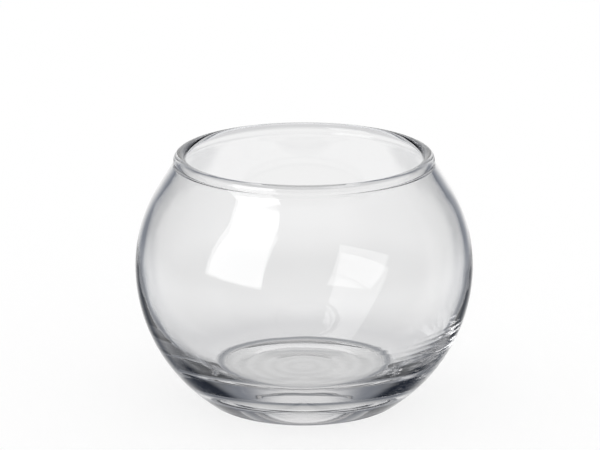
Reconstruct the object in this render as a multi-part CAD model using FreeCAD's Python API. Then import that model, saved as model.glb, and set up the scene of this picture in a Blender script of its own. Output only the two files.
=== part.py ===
import FreeCAD, Part
import math
import os

# Rose bowl vase, in millimetres.
# The whole vase is one turned wall of clear glass, so one closed outline is revolved about +Z.
# The origin is at the centre of the foot, on the surface that the bowl stands on.

# Round body
body_diameter = 100.0     # across the widest point
widest_height = 40.3      # of the widest point above the foot
shoulder_radius = 43.6    # of the outer arc that rises from the widest point
body_wall = 2.28          # wall at the widest point
inner_rise = 1.0          # the inside is widest this much higher than the outside

# Neck, which leans in and then turns a little towards upright
neck_lean = 31.7          # degrees from upright where the shoulder ends
neck_run = 8.0            # straight run above the shoulder
neck_wall = 2.4
mouth_curve = 8.8         # radius of the hollow curve above that run
mouth_turn = 5.4          # degrees that the hollow curve turns

# Lip, melted to a round a little thicker than the wall below it
lip_run = 0.5             # straight run between the hollow curve and the lip's fillets
lip_swell = 0.6           # the lip's round stands out this much from each face of the wall
lip_fillet = 3.0          # radius that joins the round to the wall

# Thick base
floor_height = 8.0        # inside floor above the foot
floor_radius = 22.0       # flat middle of that floor
foot_radius = 28.2        # outer edge of the flat foot ring
foot_width = 2.4
heel_round = 2.2          # outer edge of the foot into the body
push_up = 1.2             # rise of the underside at its centre
push_up_edge = 0.8        # round between the foot ring and the underside

# Rings that the plunger plate leaves in the underside
inner_ring_radius = 8.6
outer_ring_radius = 17.6
ring_width = 2.4
ring_depth = 0.05


def point(radius, height):
    return FreeCAD.Vector(radius, 0, height)


def on_circle(centre, radius, angle):
    return point(centre[0] + radius * math.cos(angle), centre[1] + radius * math.sin(angle))


def arc(centre, radius, start, end):
    ends = [on_circle(centre, radius, angle) for angle in (start, (start + end) / 2, end)]
    return Part.Arc(*ends).toShape()


def line(start, end):
    return Part.LineSegment(start, end).toShape()


def underside():
    # A flat dome from the axis to the foot ring, with shallow rings pressed into it
    foot_inner = foot_radius - foot_width
    dome_radius = (foot_inner ** 2 + push_up ** 2 - 2 * push_up_edge * push_up) / (2 * push_up)
    dome_centre = (0, push_up - dome_radius)
    dome_half_angle = math.atan2(foot_inner, push_up_edge - dome_centre[1])

    ring_round = (ring_width ** 2 / 4 + ring_depth ** 2) / (2 * ring_depth)
    to_ring_centre = dome_radius + ring_depth - ring_round
    half_ring = math.acos((dome_radius ** 2 + to_ring_centre ** 2 - ring_round ** 2)
                          / (2 * dome_radius * to_ring_centre))

    edges = []
    angle = math.pi / 2
    for ring_radius in (inner_ring_radius, outer_ring_radius):
        middle = math.pi / 2 - math.asin(ring_radius / dome_radius)
        before = on_circle(dome_centre, dome_radius, middle + half_ring)
        top = on_circle(dome_centre, dome_radius + ring_depth, middle)
        after = on_circle(dome_centre, dome_radius, middle - half_ring)
        edges.append(arc(dome_centre, dome_radius, angle, middle + half_ring))
        edges.append(Part.Arc(before, top, after).toShape())
        angle = middle - half_ring
    edges.append(arc(dome_centre, dome_radius, angle, math.pi / 2 - dome_half_angle))
    edges.append(arc((foot_inner, push_up_edge), push_up_edge, -math.pi / 2 - dome_half_angle, -math.pi / 2))
    edges.append(line(point(foot_inner, 0), point(foot_radius, 0)))
    return edges


def body_outside(lean):
    # The heel, one arc up to the widest point and the shoulder arc on to the neck
    body_radius = body_diameter / 2
    heel_in = body_radius - foot_radius
    belly_radius = ((heel_in ** 2 + (widest_height - heel_round) ** 2 - heel_round ** 2)
                    / (2 * (heel_in - heel_round)))
    belly_centre = (body_radius - belly_radius, widest_height)
    heel_angle = math.atan2(heel_round - widest_height, foot_radius - belly_centre[0])
    shoulder_centre = (body_radius - shoulder_radius, widest_height)
    return [arc((foot_radius, heel_round), heel_round, -math.pi / 2, heel_angle),
            arc(belly_centre, belly_radius, heel_angle, 0),
            arc(shoulder_centre, shoulder_radius, 0, lean)]


def neck_and_lip(lean):
    # The wall's outer face up to the lip, the lip's round, and the inner face down to the shoulder
    half_wall = neck_wall / 2
    shoulder_end = on_circle((body_diameter / 2 - shoulder_radius, widest_height), shoulder_radius, lean)
    outwards = point(math.cos(lean), math.sin(lean))
    upwards = point(-math.sin(lean), math.cos(lean))
    run_end = shoulder_end + upwards * neck_run

    mouth_lean = lean - math.radians(mouth_turn)
    curve_middle = run_end + outwards * mouth_curve
    curve_centre = (curve_middle.x, curve_middle.z)
    outwards = point(math.cos(mouth_lean), math.sin(mouth_lean))
    upwards = point(-math.sin(mouth_lean), math.cos(mouth_lean))
    curve_end = curve_middle - outwards * mouth_curve

    lip_radius = half_wall + lip_swell
    fillet_reach = half_wall + lip_fillet
    fillet_drop = math.sqrt((lip_radius + lip_fillet) ** 2 - fillet_reach ** 2)
    fillet_turn = math.atan2(fillet_drop, fillet_reach)
    fillet_foot = curve_end + upwards * lip_run
    fillet_level = fillet_foot - outwards * half_wall
    outer_fillet = fillet_level + outwards * fillet_reach
    inner_fillet = fillet_level - outwards * fillet_reach
    lip_centre = fillet_level + upwards * fillet_drop

    print("lip: %.2f thick, mouth %.1f across, height %.2f"
          % (2 * lip_radius, 2 * (lip_centre.x - lip_radius), lip_centre.z + lip_radius))
    inner_curve_radius = mouth_curve + neck_wall
    edges = [line(shoulder_end, run_end),
             arc(curve_centre, mouth_curve, math.pi + lean, math.pi + mouth_lean),
             line(curve_end, fillet_foot),
             arc((outer_fillet.x, outer_fillet.z), lip_fillet,
                 math.pi + mouth_lean, math.pi + mouth_lean - fillet_turn),
             arc((lip_centre.x, lip_centre.z), lip_radius,
                 mouth_lean - fillet_turn, mouth_lean + math.pi + fillet_turn),
             arc((inner_fillet.x, inner_fillet.z), lip_fillet, mouth_lean + fillet_turn, mouth_lean),
             line(fillet_foot - outwards * neck_wall, curve_end - outwards * neck_wall),
             arc(curve_centre, inner_curve_radius, math.pi + mouth_lean, math.pi + lean)]
    return edges, shoulder_end


def inside(lean, shoulder_end):
    # The inner shoulder arc meets the neck's inner face and the widest ring of the inside squarely
    across = math.cos(lean)
    along = math.sin(lean)
    inner_widest = body_diameter / 2 - body_wall
    inner_height = widest_height + inner_rise
    neck_face = shoulder_end - point(across, along) * neck_wall
    reach = across * (neck_face.x - inner_widest) + along * (neck_face.z - inner_height)
    inner_shoulder = reach / (1 - across)
    centre = (inner_widest - inner_shoulder, inner_height)
    neck_top = neck_face + point(-along, across) * neck_run

    # Below the widest ring the wall thickens as a quarter of an ellipse down to the flat floor
    bowl = Part.BezierCurve()
    bowl.setPoles([point(inner_widest, inner_height), point(inner_widest, floor_height),
                   point(floor_radius, floor_height)])
    quarter_ellipse_weight = math.sqrt(1 / 2)
    bowl.setWeight(2, quarter_ellipse_weight)
    return [line(neck_top, on_circle(centre, inner_shoulder, lean)),
            arc(centre, inner_shoulder, lean, 0),
            bowl.toShape(),
            line(point(floor_radius, floor_height), point(0, floor_height)),
            line(point(0, floor_height), point(0, push_up))]


def glass_bowl():
    lean = math.radians(neck_lean)
    neck, shoulder_end = neck_and_lip(lean)
    edges = underside() + body_outside(lean) + neck + inside(lean, shoulder_end)
    outline = Part.Face(Part.Wire(edges))
    return outline.revolve(point(0, 0), FreeCAD.Vector(0, 0, 1), 360)


os.makedirs("parts", exist_ok=True)
bowl = glass_bowl()
bowl.exportStep("parts/glass_bowl.step")
print("glass_bowl: %d solid, valid %s, volume %.0f, box %s"
      % (len(bowl.Solids), bowl.isValid(), bowl.Volume, bowl.BoundBox))
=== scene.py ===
import bpy
import math
from mathutils import Matrix, Vector


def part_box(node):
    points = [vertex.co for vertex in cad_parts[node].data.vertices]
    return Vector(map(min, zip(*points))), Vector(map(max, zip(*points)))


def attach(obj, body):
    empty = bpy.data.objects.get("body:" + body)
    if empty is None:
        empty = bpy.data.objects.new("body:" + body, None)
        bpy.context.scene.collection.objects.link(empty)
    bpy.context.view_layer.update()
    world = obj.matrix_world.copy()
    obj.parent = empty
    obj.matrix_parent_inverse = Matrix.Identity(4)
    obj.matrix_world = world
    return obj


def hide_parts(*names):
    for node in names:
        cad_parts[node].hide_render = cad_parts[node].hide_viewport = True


# A rose bowl vase of clear glass on a white sweep, lit as studio glass is: bright behind, dark at the sides
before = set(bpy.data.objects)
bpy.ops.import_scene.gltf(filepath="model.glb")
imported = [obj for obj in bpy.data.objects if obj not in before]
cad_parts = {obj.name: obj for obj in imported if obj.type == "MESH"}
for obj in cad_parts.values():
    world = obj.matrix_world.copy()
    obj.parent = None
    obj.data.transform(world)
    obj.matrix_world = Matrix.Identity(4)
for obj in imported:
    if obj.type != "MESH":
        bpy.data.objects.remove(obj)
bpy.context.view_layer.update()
cadLow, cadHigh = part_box("glass_bowl")
print("frame loaded: bowl is %.1f mm across and %.1f mm high"
      % ((cadHigh.x - cadLow.x) * 1000, (cadHigh.z - cadLow.z) * 1000))

mm = 0.001
scene = bpy.context.scene


def linearColour(hexColour):
    # sRGB hex to the linear colour that shaders take
    channels = [int(hexColour[place:place + 2], 16) / 255 for place in (1, 3, 5)]
    return tuple(c / 12.92 if c <= 0.04045 else ((c + 0.055) / 1.055) ** 2.4 for c in channels) + (1.0,)


def addNode(tree, kind, inputs=None, **settings):
    # one node with its settings, its values and its links; an input that is a socket gets linked
    node = tree.nodes.new(kind)
    for name, value in settings.items():
        setattr(node, name, value)
    for socket, value in (inputs or {}).items():
        if isinstance(value, bpy.types.NodeSocket):
            tree.links.new(value, node.inputs[socket])
        else:
            node.inputs[socket].default_value = value
    return node


# Camera, fitted to the photo
view = {
    "imageSize": (600, 450),
    "distance": 826 * mm,        # from the aim point
    "elevation": 17.12,          # degrees above level
    "aimHeight": 37.0 * mm,      # on the bowl's axis
    "aimPixel": (304.1, 275.0),  # where that point lies in the picture
    "pixelsPerMm": 3.367,        # at that point
    "sensorWidth": 36.0,
    "sees": (10 * mm, 20000 * mm),  # from the nearest to the furthest
}


def makeCamera(v):
    focalPixels = v["pixelsPerMm"] * v["distance"] / mm
    level = math.radians(v["elevation"])
    pitch = math.atan((v["aimPixel"][1] - v["imageSize"][1] / 2) / focalPixels)
    yaw = math.atan((v["aimPixel"][0] - v["imageSize"][0] / 2) / focalPixels)
    data = bpy.data.cameras.new("photoCamera")
    data.sensor_width = v["sensorWidth"]
    data.lens = focalPixels / v["imageSize"][0] * v["sensorWidth"]
    data.clip_start, data.clip_end = v["sees"]
    camera = bpy.data.objects.new("photoCamera", data)
    scene.collection.objects.link(camera)
    place = Vector((0, -math.cos(level), math.sin(level))) * v["distance"] + Vector((0, 0, v["aimHeight"]))
    turn = Matrix.Rotation(math.radians(90) - level + pitch, 4, "X") @ Matrix.Rotation(yaw, 4, "Y")
    camera.matrix_world = Matrix.Translation(place) @ turn
    scene.camera = camera


makeCamera(view)

# The bowl: one turned wall. Sizes in millimetres, the same ones as the CAD node's
bowl = {
    "bodyDiameter": (cadHigh.x - cadLow.x) / mm,
    "widestHeight": 40.3,
    "shoulderRadius": 43.6,
    "bodyWall": 2.28,
    "innerRise": 1.0,
    "neckLean": 31.7,        # degrees from upright
    "neckRun": 8.0,
    "neckWall": 2.4,
    "mouthCurve": 8.8,
    "mouthTurn": 5.4,        # degrees
    "lipRun": 0.5,
    "lipSwell": 0.6,
    "lipFillet": 3.0,
    "floorHeight": 8.0,
    "floorRadius": 22.0,
    "footRadius": 28.2,
    "footWidth": 2.4,
    "heelRound": 2.2,
    "pushUp": 1.2,
    "pushUpEdge": 0.8,
    "ringRadii": (8.6, 17.6),  # rings that the plunger plate leaves underneath
    "ringWidth": 2.4,
    "ringDepth": 0.05,
    "pointSpacing": 1.1,     # along the wall
    "pointTurn": 5.0,        # most degrees that one step of a round turns
    "segments": 288,         # around the axis
    "rippleHeight": 0.03,    # of the settling waves in the inner wall
    "rippleSize": 9.0,
    "rippleSeed": 4.0,
}


def arcPoints(b, centre, radius, start, end):
    steps = max(math.ceil(abs(end - start) * radius / b["pointSpacing"]),
                math.ceil(abs(end - start) / math.radians(b["pointTurn"])), 1)
    angles = [start + (end - start) * step / steps for step in range(steps + 1)]
    return [(centre[0] + radius * math.cos(a), centre[1] + radius * math.sin(a)) for a in angles]


def linePoints(b, start, end):
    steps = max(math.ceil(math.dist(start, end) / b["pointSpacing"]), 1)
    return [(start[0] + (end[0] - start[0]) * step / steps,
             start[1] + (end[1] - start[1]) * step / steps) for step in range(steps + 1)]


def underside(b):
    # a flat dome with shallow rings pressed into it, out to the foot ring
    quarter = math.pi / 2
    footInner = b["footRadius"] - b["footWidth"]
    rise = b["pushUp"]
    edge = b["pushUpEdge"]
    dome = (footInner ** 2 + rise ** 2 - 2 * edge * rise) / (2 * rise)
    centre = (0, rise - dome)
    halfDome = math.atan2(footInner, edge - centre[1])
    ringRound = (b["ringWidth"] ** 2 / 4 + b["ringDepth"] ** 2) / (2 * b["ringDepth"])
    ringReach = dome + b["ringDepth"] - ringRound
    halfRing = math.acos((dome ** 2 + ringReach ** 2 - ringRound ** 2) / (2 * dome * ringReach))
    ringTurn = math.acos((ringRound ** 2 + ringReach ** 2 - dome ** 2) / (2 * ringRound * ringReach))
    points = []
    angle = quarter
    for ringRadius in b["ringRadii"]:
        middle = quarter - math.asin(ringRadius / dome)
        ringCentre = (ringReach * math.cos(middle), centre[1] + ringReach * math.sin(middle))
        points += arcPoints(b, centre, dome, angle, middle + halfRing)
        points += arcPoints(b, ringCentre, ringRound,
                            middle + math.pi - ringTurn, middle - math.pi + ringTurn)
        angle = middle - halfRing
    points += arcPoints(b, centre, dome, angle, quarter - halfDome)
    points += arcPoints(b, (footInner, edge), edge, -quarter - halfDome, -quarter)
    return points + linePoints(b, (footInner, 0), (b["footRadius"], 0))


def outside(b, lean):
    # heel, belly arc to the widest point, shoulder arc to the neck
    radius = b["bodyDiameter"] / 2
    heel = b["heelRound"]
    heelIn = radius - b["footRadius"]
    belly = (heelIn ** 2 + (b["widestHeight"] - heel) ** 2 - heel ** 2) / (2 * (heelIn - heel))
    centre = (radius - belly, b["widestHeight"])
    heelAngle = math.atan2(heel - b["widestHeight"], b["footRadius"] - centre[0])
    points = arcPoints(b, (b["footRadius"], heel), heel, -math.pi / 2, heelAngle)
    points += arcPoints(b, centre, belly, heelAngle, 0)
    shoulder = b["shoulderRadius"]
    return points + arcPoints(b, (radius - shoulder, b["widestHeight"]), shoulder, 0, lean)


def neckAndLip(b, lean, shoulderEnd):
    # straight neck, hollow turn, the melted round of the lip, and back down the inner face
    out = Vector((math.cos(lean), math.sin(lean)))
    up = Vector((-out.y, out.x))
    wall = b["neckWall"]
    runEnd = shoulderEnd + up * b["neckRun"]
    curve = runEnd + out * b["mouthCurve"]
    mouthLean = lean - math.radians(b["mouthTurn"])
    out = Vector((math.cos(mouthLean), math.sin(mouthLean)))
    up = Vector((-out.y, out.x))
    curveEnd = curve - out * b["mouthCurve"]
    lip = wall / 2 + b["lipSwell"]
    fillet = b["lipFillet"]
    drop = math.sqrt((lip + fillet) ** 2 - (wall / 2 + fillet) ** 2)
    turn = math.atan2(drop, wall / 2 + fillet)
    foot = curveEnd + up * b["lipRun"]
    level = foot - out * wall / 2
    points = linePoints(b, shoulderEnd, runEnd)
    points += arcPoints(b, curve, b["mouthCurve"], math.pi + lean, math.pi + mouthLean)
    points += linePoints(b, curveEnd, foot)
    points += arcPoints(b, level + out * (wall / 2 + fillet), fillet,
                        math.pi + mouthLean, math.pi + mouthLean - turn)
    points += arcPoints(b, level + up * drop, lip, mouthLean - turn, mouthLean + math.pi + turn)
    points += arcPoints(b, level - out * (wall / 2 + fillet), fillet, mouthLean + turn, mouthLean)
    points += linePoints(b, foot - out * wall, curveEnd - out * wall)
    return points + arcPoints(b, curve, b["mouthCurve"] + wall, math.pi + mouthLean, math.pi + lean)


def inside(b, lean, shoulderEnd):
    # inner shoulder arc, then a quarter ellipse that thickens the wall down to the flat floor
    out = Vector((math.cos(lean), math.sin(lean)))
    up = Vector((-out.y, out.x))
    widest = Vector((b["bodyDiameter"] / 2 - b["bodyWall"], b["widestHeight"] + b["innerRise"]))
    face = shoulderEnd - out * b["neckWall"]
    shoulder = out.dot(face - widest) / (1 - out.x)
    centre = (widest.x - shoulder, widest.y)
    joint = (centre[0] + shoulder * out.x, centre[1] + shoulder * out.y)
    points = linePoints(b, face + up * b["neckRun"], joint)
    points += arcPoints(b, centre, shoulder, lean, 0)
    across = widest.x - b["floorRadius"]
    down = widest.y - b["floorHeight"]
    steps = math.ceil((across + down) * math.pi / 4 / b["pointSpacing"])
    for step in range(steps + 1):
        angle = math.pi / 2 * step / steps
        points.append((b["floorRadius"] + across * math.cos(angle), widest.y - down * math.sin(angle)))
    return points + linePoints(b, (b["floorRadius"], b["floorHeight"]), (0, b["floorHeight"]))


def wallOutline(b):
    # the closed half section, from the axis underneath, round the lip, to the axis on the floor;
    # each point also says how much of the settling wave it takes
    lean = math.radians(b["neckLean"])
    shoulderEnd = Vector((b["bodyDiameter"] / 2 - b["shoulderRadius"] * (1 - math.cos(lean)),
                          b["widestHeight"] + b["shoulderRadius"] * math.sin(lean)))
    mould = underside(b) + outside(b, lean) + neckAndLip(b, lean, shoulderEnd)
    blown = inside(b, lean, shoulderEnd)
    points = []
    for place, point in enumerate(mould + blown):
        wave = 1.0 if place >= len(mould) and point[0] > b["floorRadius"] else 0.0
        if not points or math.dist(point, points[-1][0]) > b["pointSpacing"] / 1000:
            points.append((tuple(point), wave))
    return points


def outlineMesh(points):
    # a chain of vertices in the XZ plane, which the turning tree reads by index
    mesh = bpy.data.meshes.new("wallOutline")
    places = [(p[0] * mm, 0, p[1] * mm) for p, wave in points]
    mesh.from_pydata(places, [(i, i + 1) for i in range(len(places) - 1)], [])
    waves = mesh.attributes.new("wave", "FLOAT", "POINT")
    waves.data.foreach_set("value", [wave for p, wave in points])
    return mesh


def turningTree():
    # turns the outline about Z, closes the seam and the poles, and lets the inner wall ripple
    tree = bpy.data.node_groups.new("turnedGlassWall", "GeometryNodeTree")
    face = tree.interface
    face.new_socket("Geometry", in_out="INPUT", socket_type="NodeSocketGeometry")
    for name, kind in (("Segments", "NodeSocketInt"), ("Ripple Height", "NodeSocketFloat"),
                       ("Ripple Size", "NodeSocketFloat"), ("Ripple Seed", "NodeSocketFloat"),
                       ("Glass", "NodeSocketMaterial")):
        face.new_socket(name, in_out="INPUT", socket_type=kind)
    face.new_socket("Geometry", in_out="OUTPUT", socket_type="NodeSocketGeometry")
    given = addNode(tree, "NodeGroupInput").outputs
    size = addNode(tree, "GeometryNodeAttributeDomainSize", {"Geometry": given["Geometry"]},
                   component="MESH")
    columns = addNode(tree, "FunctionNodeIntegerMath", {0: given["Segments"], 1: 1},
                      operation="ADD").outputs[0]
    grid = addNode(tree, "GeometryNodeMeshGrid",
                   {"Vertices X": size.outputs["Point Count"], "Vertices Y": columns})
    index = addNode(tree, "GeometryNodeInputIndex").outputs[0]
    along = addNode(tree, "FunctionNodeIntegerMath", {0: index, 1: columns},
                    operation="DIVIDE_FLOOR").outputs[0]
    around = addNode(tree, "FunctionNodeIntegerMath", {0: index, 1: columns}, operation="MODULO").outputs[0]
    place = addNode(tree, "GeometryNodeInputPosition").outputs[0]
    onOutline = addNode(tree, "GeometryNodeSampleIndex",
                        {"Geometry": given["Geometry"], "Value": place, "Index": along},
                        data_type="FLOAT_VECTOR", domain="POINT")
    share = addNode(tree, "ShaderNodeMath", {0: around, 1: given["Segments"]}, operation="DIVIDE")
    angle = addNode(tree, "ShaderNodeMath", {0: share.outputs[0], 1: math.tau}, operation="MULTIPLY")
    turned = addNode(tree, "ShaderNodeVectorRotate",
                     {"Vector": onOutline.outputs[0], "Angle": angle.outputs[0]}, rotation_type="Z_AXIS")
    wave = addNode(tree, "GeometryNodeInputNamedAttribute", {"Name": "wave"}, data_type="FLOAT")
    waveHere = addNode(tree, "GeometryNodeSampleIndex",
                       {"Geometry": given["Geometry"], "Value": wave.outputs[0], "Index": along},
                       data_type="FLOAT", domain="POINT")
    kept = addNode(tree, "GeometryNodeStoreNamedAttribute",
                   {"Geometry": grid.outputs["Mesh"], "Name": "wave", "Value": waveHere.outputs[0]},
                   data_type="FLOAT", domain="POINT")
    wall = addNode(tree, "GeometryNodeSetPosition",
                   {"Geometry": kept.outputs[0], "Position": turned.outputs[0]})
    closed = addNode(tree, "GeometryNodeMergeByDistance",
                     {"Geometry": wall.outputs[0], "Distance": mm / 1000})
    outward = addNode(tree, "GeometryNodeFlipFaces", {"Mesh": closed.outputs[0]})
    # the noise lies mostly between a quarter and three quarters, so the wave swings evenly about the wall
    scale = addNode(tree, "ShaderNodeMath", {0: 1.0, 1: given["Ripple Size"]}, operation="DIVIDE")
    noise = addNode(tree, "ShaderNodeTexNoise",
                    {"Vector": place, "W": given["Ripple Seed"], "Scale": scale.outputs[0], "Detail": 1.0},
                    noise_dimensions="4D")
    swing = addNode(tree, "ShaderNodeMapRange",
                    {"Value": noise.outputs["Fac"], "From Min": 0.25, "From Max": 0.75,
                     "To Min": -0.5, "To Max": 0.5})
    height = addNode(tree, "ShaderNodeMath", {0: swing.outputs[0], 1: given["Ripple Height"]},
                     operation="MULTIPLY")
    held = addNode(tree, "ShaderNodeMath", {0: height.outputs[0], 1: wave.outputs[0]}, operation="MULTIPLY")
    normal = addNode(tree, "GeometryNodeInputNormal").outputs[0]
    offset = addNode(tree, "ShaderNodeVectorMath", {0: normal, "Scale": held.outputs[0]}, operation="SCALE")
    rippled = addNode(tree, "GeometryNodeSetPosition",
                      {"Geometry": outward.outputs[0], "Offset": offset.outputs[0]})
    plain = addNode(tree, "GeometryNodeRemoveAttribute", {"Geometry": rippled.outputs[0], "Name": "wave"})
    smooth = addNode(tree, "GeometryNodeSetShadeSmooth", {"Geometry": plain.outputs[0]})
    real = addNode(tree, "GeometryNodeRealizeInstances", {"Geometry": smooth.outputs[0]})
    glazed = addNode(tree, "GeometryNodeSetMaterial",
                     {"Geometry": real.outputs[0], "Material": given["Glass"]})
    addNode(tree, "NodeGroupOutput", {"Geometry": glazed.outputs[0]})
    return tree


def makeBowl(b, glass):
    turner = bpy.data.objects.new("bowlTurner", outlineMesh(wallOutline(b)))
    scene.collection.objects.link(turner)
    modifier = turner.modifiers.new("turn", "NODES")
    modifier.node_group = turningTree()
    values = {"Segments": b["segments"], "Ripple Height": b["rippleHeight"] * mm,
              "Ripple Size": b["rippleSize"] * mm, "Ripple Seed": b["rippleSeed"], "Glass": glass}
    for item in modifier.node_group.interface.items_tree:
        if item.in_out == "INPUT" and item.name in values:
            modifier[item.identifier] = values[item.name]
    mesh = bpy.data.meshes.new_from_object(turner.evaluated_get(bpy.context.evaluated_depsgraph_get()))
    bpy.data.objects.remove(turner)
    mesh.name = "roseBowl"
    piece = bpy.data.objects.new("roseBowl", mesh)
    scene.collection.objects.link(piece)
    return piece


# Pressed soda-lime glass, mould and fire polished: clear and mirror smooth. What gives it away as pressed
# are lap marks, fine level waves low on the outside where the first glass chilled on the mould, and a swirl
# so faint that it hardly shows on the floor. The foot's contact ring is scuffed dull. Sizes in millimetres
glassFinish = {
    "ior": 1.52,
    "depthColour": "#cbcacb",        # what a long way through the glass leaves
    "density": 8.0,                  # per metre
    "lapMarkPitch": 1.7,
    "lapMarkHeight": 0.02,
    "lapMarkWander": 0.7,            # they aren't quite level
    "lapMarkWanderSize": 14,         # length over which they stray
    "lapMarkBand": (11, 15, 26, 30),  # heights where they start, are full, and end again
    "lapMarkSides": (12, 39),        # faint at this X, full at that one, where the gob fell
    "lapMarkFaint": 0.1,
    "swirlPitch": 2.4,
    "swirlHeight": 0.005,
    "swirlEdge": (20, 25),           # radii over which the swirl ends
    "wearRoughness": 0.3,
    "wearHeight": 0.15,              # of the scuffed ring above the table
    "smoothness": 0.0,               # roughness of all the rest
}


def between(tree, value, low, high, start=0.0, end=1.0):
    # smooth rise from start to end while value goes from low to high
    return addNode(tree, "ShaderNodeMapRange", {"Value": value, "From Min": low, "From Max": high,
                                                "To Min": start, "To Max": end},
                   interpolation_type="SMOOTHSTEP").outputs[0]


def product(tree, *factors):
    result = factors[0]
    for factor in factors[1:]:
        result = addNode(tree, "ShaderNodeMath", {0: result, 1: factor}, operation="MULTIPLY").outputs[0]
    return result


def lapMarks(tree, g, place, axes, outward):
    wander = addNode(tree, "ShaderNodeTexNoise", {"Vector": place, "Detail": 1.0,
                                                     "Scale": 1 / (g["lapMarkWanderSize"] * mm)})
    shift = product(tree, wander.outputs["Fac"], g["lapMarkWander"] * mm)
    level = addNode(tree, "ShaderNodeMath", {0: axes["Z"], 1: shift}, operation="ADD")
    phase = product(tree, level.outputs[0], math.tau / (g["lapMarkPitch"] * mm))
    wave = addNode(tree, "ShaderNodeMath", {0: phase}, operation="SINE").outputs[0]
    start, full, fade, end = (height * mm for height in g["lapMarkBand"])
    band = product(tree, between(tree, axes["Z"], start, full), between(tree, axes["Z"], fade, end, 1.0, 0.0))
    near, far = (aside * mm for aside in g["lapMarkSides"])
    side = between(tree, axes["X"], near, far, g["lapMarkFaint"], 1.0)
    return product(tree, wave, band, side, outward, g["lapMarkHeight"] / 2)


def floorSwirl(tree, g, axes, radius, inward):
    across = product(tree, radius, 1 / (g["swirlPitch"] * mm))
    turnX = addNode(tree, "ShaderNodeMath", {0: axes["X"], 1: radius}, operation="DIVIDE")
    turnY = addNode(tree, "ShaderNodeMath", {0: axes["Y"], 1: radius}, operation="DIVIDE")
    drawn = addNode(tree, "ShaderNodeCombineXYZ", {"X": across, "Y": turnX.outputs[0], "Z": turnY.outputs[0]})
    noise = addNode(tree, "ShaderNodeTexNoise", {"Vector": drawn.outputs[0], "Scale": 1.0, "Detail": 3.0})
    start, end = (edge * mm for edge in g["swirlEdge"])
    flat = product(tree, between(tree, radius, start, end, 1.0, 0.0), inward)
    return product(tree, noise.outputs["Fac"], flat, g["swirlHeight"])


def pressedSodaLimeGlass(g):
    material = bpy.data.materials.new("pressedSodaLimeGlass")
    material.use_nodes = True
    tree = material.node_tree
    tree.nodes.clear()
    coordinates = addNode(tree, "ShaderNodeTexCoord").outputs
    place = coordinates["Object"]
    axes = addNode(tree, "ShaderNodeSeparateXYZ", {0: place}).outputs
    flatPlace = addNode(tree, "ShaderNodeVectorMath", {0: place, 1: (1, 1, 0)}, operation="MULTIPLY")
    radius = addNode(tree, "ShaderNodeVectorMath", {0: flatPlace.outputs[0]},
                     operation="LENGTH").outputs["Value"]
    facing = addNode(tree, "ShaderNodeVectorMath", {0: flatPlace.outputs[0], 1: coordinates["Normal"]},
                     operation="DOT_PRODUCT").outputs["Value"]
    outward = addNode(tree, "ShaderNodeMath", {0: facing, 1: 0.0}, operation="GREATER_THAN").outputs[0]
    upright = addNode(tree, "ShaderNodeSeparateXYZ", {0: coordinates["Normal"]}).outputs["Z"]
    inward = addNode(tree, "ShaderNodeMath", {0: upright, 1: 0.5}, operation="GREATER_THAN").outputs[0]
    marks = lapMarks(tree, g, place, axes, outward)
    swirl = floorSwirl(tree, g, axes, radius, inward)
    relief = addNode(tree, "ShaderNodeMath", {0: marks, 1: swirl}, operation="ADD").outputs[0]
    bump = addNode(tree, "ShaderNodeBump", {"Height": relief, "Strength": 1.0, "Distance": mm})
    worn = between(tree, axes["Z"], 0.0, g["wearHeight"] * mm, g["wearRoughness"], g["smoothness"])
    surface = addNode(tree, "ShaderNodeBsdfPrincipled", {
        "Base Color": (1, 1, 1, 1),
        "Roughness": worn,
        "IOR": g["ior"],
        "Transmission Weight": 1.0,
        "Normal": bump.outputs[0],
    })
    depth = addNode(tree, "ShaderNodeVolumeAbsorption",
                    {"Color": linearColour(g["depthColour"]), "Density": g["density"]})
    addNode(tree, "ShaderNodeOutputMaterial", {"Surface": surface.outputs[0], "Volume": depth.outputs[0]})
    return material


glass = pressedSodaLimeGlass(glassFinish)
roseBowl = makeBowl(bowl, glass)
print("bowl turned: %d vertices, %d faces" % (len(roseBowl.data.vertices), len(roseBowl.data.polygons)))
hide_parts("glass_bowl")
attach(roseBowl, "root")

# The studio as the glass sees it: plain parts by direction, each laid over the ones before it, the same on
# the left and right. Bearings are degrees from straight behind the bowl and rises degrees above level; each
# pair is where a part softly begins (From) or ends (To), and a part without one has no such end
studio = {
    "room": "#66686c",
    "parts": (
        # unlit room at the sides
        {"colour": "#0f151f", "bearingFrom": (26, 40), "bearingTo": (66, 100), "riseFrom": (-4, 14)},
        # ceiling over the camera, and the dark below it
        {"colour": "#d0d0d0", "bearingFrom": (110, 150), "riseFrom": (22, 42)},
        {"colour": "#303238", "bearingFrom": (110, 150), "riseFrom": (0, 8), "riseTo": (16, 32)},
        # white table
        {"colour": "#ebecee", "riseTo": (-18, 2)},
        # dim gaps beside the screen
        {"colour": "#747983", "bearingTo": (28, 44)},
        # slate shade on the table beside the bowl
        {"colour": "#26344a", "bearingFrom": (25, 34), "bearingTo": (48, 62),
         "riseFrom": (-70, -56), "riseTo": (-44, -32)},
        # white screen behind
        {"colour": "#f6f6f6", "bearingTo": (8, 30), "riseTo": (46, 80)},
        # faint shade on the table between the screen and the bowl
        {"colour": "#d9d9da", "bearingTo": (14, 28), "riseFrom": (-62, -46), "riseTo": (-36, -20)},
    ),
    "dome": 1.0,                # plain light on whatever isn't glass
}


def shareOf(tree, part, measures):
    # how far a direction lies inside a part of the studio
    factors = []
    for name, measure in measures.items():
        if name + "From" in part:
            start, full = (math.radians(degrees) for degrees in part[name + "From"])
            factors.append(between(tree, measure, start, full))
        if name + "To" in part:
            full, end = (math.radians(degrees) for degrees in part[name + "To"])
            factors.append(between(tree, measure, full, end, 1.0, 0.0))
    return product(tree, *factors)


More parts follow.
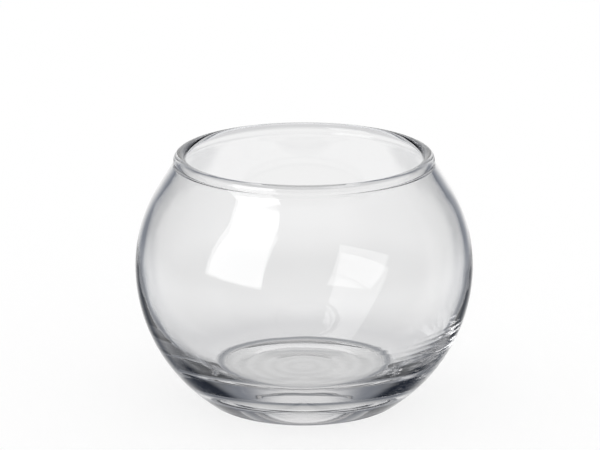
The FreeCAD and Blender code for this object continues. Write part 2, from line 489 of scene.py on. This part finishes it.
def fromGlass(tree, rays):
    # 1 for a ray that comes off the glass or through it
    return addNode(tree, "ShaderNodeMath", {0: rays["Is Glossy Ray"], 1: rays["Is Transmission Ray"]},
                   operation="MAXIMUM").outputs[0]


def makeStudio(s):
    world = bpy.data.worlds.new("studio")
    scene.world = world
    world.use_nodes = True
    tree = world.node_tree
    tree.nodes.clear()
    direction = addNode(tree, "ShaderNodeTexCoord").outputs["Generated"]
    axes = addNode(tree, "ShaderNodeSeparateXYZ", {0: direction}).outputs
    rise = addNode(tree, "ShaderNodeMath", {0: axes["Z"]}, operation="ARCSINE").outputs[0]
    aside = addNode(tree, "ShaderNodeMath", {0: axes["X"], 1: axes["Y"]}, operation="ARCTAN2").outputs[0]
    bearing = addNode(tree, "ShaderNodeMath", {0: aside}, operation="ABSOLUTE").outputs[0]
    around = linearColour(s["room"])
    for part in s["parts"]:
        share = shareOf(tree, part, {"bearing": bearing, "rise": rise})
        around = addNode(tree, "ShaderNodeMix", {0: share, 6: around, 7: linearColour(part["colour"])},
                         data_type="RGBA").outputs[2]
    rays = addNode(tree, "ShaderNodeLightPath").outputs
    # light that the table gets through the glass is the plain dome's too
    straight = addNode(tree, "ShaderNodeMath", {0: rays["Diffuse Depth"], 1: 0.5}, operation="LESS_THAN")
    asGlassSees = product(tree, fromGlass(tree, rays), straight.outputs[0])
    dome = (s["dome"], s["dome"], s["dome"], 1)
    lit = addNode(tree, "ShaderNodeMix", {0: asGlassSees, 6: dome, 7: around}, data_type="RGBA")
    seen = addNode(tree, "ShaderNodeMix", {0: rays["Is Camera Ray"], 6: lit.outputs[2], 7: (1, 1, 1, 1)},
                   data_type="RGBA")
    background = addNode(tree, "ShaderNodeBackground", {"Color": seen.outputs[2], "Strength": 1.0})
    addNode(tree, "ShaderNodeOutputWorld", {"Surface": background.outputs[0]})


makeStudio(studio)

# One upright soft box in front on the left, which gives both window-shaped highlights
softBox = {
    "place": (-475 * mm, -415 * mm, 367 * mm),
    "facing": 27.2,         # degrees, its bearing from +Y towards +X
    "roll": -4.5,
    "size": (506 * mm, 590 * mm),
    "power": 2.3,           # white in the nearer highlight, just short of it in the further one
    # its top edge fades out between two shares of its height, leans, and sags towards its middle
    "topFade": (0.918, 0.96),
    "topLean": 0.0675,
    "topSag": 0.165,
    "topMiddle": 0.565,
}


def makeSoftBox(s):
    data = bpy.data.lights.new("softBox", "AREA")
    data.shape = "RECTANGLE"
    data.size, data.size_y = s["size"]
    data.energy = s["power"]
    data.use_nodes = True
    tree = data.node_tree
    tree.nodes.clear()
    across = addNode(tree, "ShaderNodeNewGeometry").outputs["Parametric"]
    axes = addNode(tree, "ShaderNodeSeparateXYZ", {0: across}).outputs
    aside = addNode(tree, "ShaderNodeMath", {0: axes["X"], 1: s["topMiddle"]},
                    operation="SUBTRACT").outputs[0]
    slope = addNode(tree, "ShaderNodeMath", {0: aside, 1: s["topSag"], 2: s["topLean"]},
                    operation="MULTIPLY_ADD")
    drop = product(tree, aside, slope.outputs[0])
    rise = addNode(tree, "ShaderNodeMath", {0: axes["Y"], 1: drop}, operation="SUBTRACT").outputs[0]
    start, end = s["topFade"]
    glow = addNode(tree, "ShaderNodeEmission", {"Strength": between(tree, rise, start, end, 1.0, 0.0)})
    addNode(tree, "ShaderNodeOutputLight", {"Surface": glow.outputs[0]})
    lamp = bpy.data.objects.new("softBox", data)
    scene.collection.objects.link(lamp)
    facing = math.radians(s["facing"])
    back = Vector((-math.sin(facing), -math.cos(facing), 0))
    lamp.matrix_world = (Matrix.Translation(s["place"]) @ back.to_track_quat("Z", "Y").to_matrix().to_4x4()
                         @ Matrix.Rotation(math.radians(s["roll"]), 4, "Z"))
    lamp.visible_camera = False
    lamp.visible_diffuse = False    # the dome alone lights the table


makeSoftBox(softBox)

# White table: the eye sees it with the bowl's faint shadow. The glass sees it only under the bowl, in set
# colours: painted light inside the foot and painted shade where the foot stands on it; beyond that it sees
# the studio's
table = {
    "size": 6000 * mm,
    "height": 0.02 * mm,        # just inside the foot, which touches it
    "ownWhite": 0.75,           # share of its white that no shadow takes away
    # painted light on the table under the bowl, as the glass sees it
    "lightUnderBowl": "#c4c4c4",
    "ringPitch": 5.0 * mm,      # of faint rings, for the glass above gathers the light unevenly
    "ringStart": 2.0 * mm,
    "ringSwing": 0.06,
    # painted shade where the foot stands on the table
    "shadeUnderFoot": "#76797f",
    "footStart": (24.8 * mm, 27.4 * mm),
    "shadeEnd": (28.3 * mm, 30.0 * mm),    # where the dark fades out under the heel
}


def makeTable(t):
    mesh = bpy.data.meshes.new("table")
    half = t["size"] / 2
    level = t["height"]
    corners = [(-half, -half, level), (half, -half, level), (half, half, level), (-half, half, level)]
    mesh.from_pydata(corners, [], [(0, 1, 2, 3)])
    material = bpy.data.materials.new("whiteTable")
    material.use_nodes = True
    tree = material.node_tree
    tree.nodes.clear()
    rays = addNode(tree, "ShaderNodeLightPath").outputs
    place = addNode(tree, "ShaderNodeTexCoord").outputs["Object"]
    aside = addNode(tree, "ShaderNodeVectorMath", {0: place}, operation="LENGTH").outputs["Value"]
    ringTurn = math.tau / t["ringPitch"]
    turned = addNode(tree, "ShaderNodeMath", {0: aside, 1: ringTurn, 2: -ringTurn * t["ringStart"]},
                     operation="MULTIPLY_ADD")
    wave = addNode(tree, "ShaderNodeMath", {0: turned.outputs[0]}, operation="COSINE")
    rings = addNode(tree, "ShaderNodeMath", {0: wave.outputs[0], 1: t["ringSwing"], 2: 1.0},
                    operation="MULTIPLY_ADD")
    colour = addNode(tree, "ShaderNodeMix", {0: between(tree, aside, *t["footStart"]),
                                             6: linearColour(t["lightUnderBowl"]),
                                             7: linearColour(t["shadeUnderFoot"])}, data_type="RGBA")
    # painted light under the bowl in faint rings, and painted shade under the foot, seen only by the glass
    lit = addNode(tree, "ShaderNodeEmission", {"Color": colour.outputs[2], "Strength": rings.outputs[0]})
    clear = addNode(tree, "ShaderNodeBsdfTransparent")
    beyond = between(tree, aside, *t["shadeEnd"])
    underneath = addNode(tree, "ShaderNodeMixShader", {0: beyond, 1: lit.outputs[0], 2: clear.outputs[0]})
    matt = addNode(tree, "ShaderNodeBsdfDiffuse", {"Color": (1, 1, 1, 1)})
    white = addNode(tree, "ShaderNodeEmission", {"Color": (1, 1, 1, 1), "Strength": 1.0})
    toTheEye = product(tree, rays["Is Camera Ray"], t["ownWhite"])
    plain = addNode(tree, "ShaderNodeMixShader", {0: toTheEye, 1: matt.outputs[0], 2: white.outputs[0]})
    both = addNode(tree, "ShaderNodeMixShader", {0: fromGlass(tree, rays), 1: plain.outputs[0],
                                                 2: underneath.outputs[0]})
    addNode(tree, "ShaderNodeOutputMaterial", {"Surface": both.outputs[0]})
    mesh.materials.append(material)
    top = bpy.data.objects.new("table", mesh)
    scene.collection.objects.link(top)


makeTable(table)
print("studio set")

scene.view_settings.view_transform = "Standard"
# the thick base sends light round many times before it lets it out
scene.cycles.max_bounces = 32
scene.cycles.transmission_bounces = 32
scene.cycles.glossy_bounces = 16
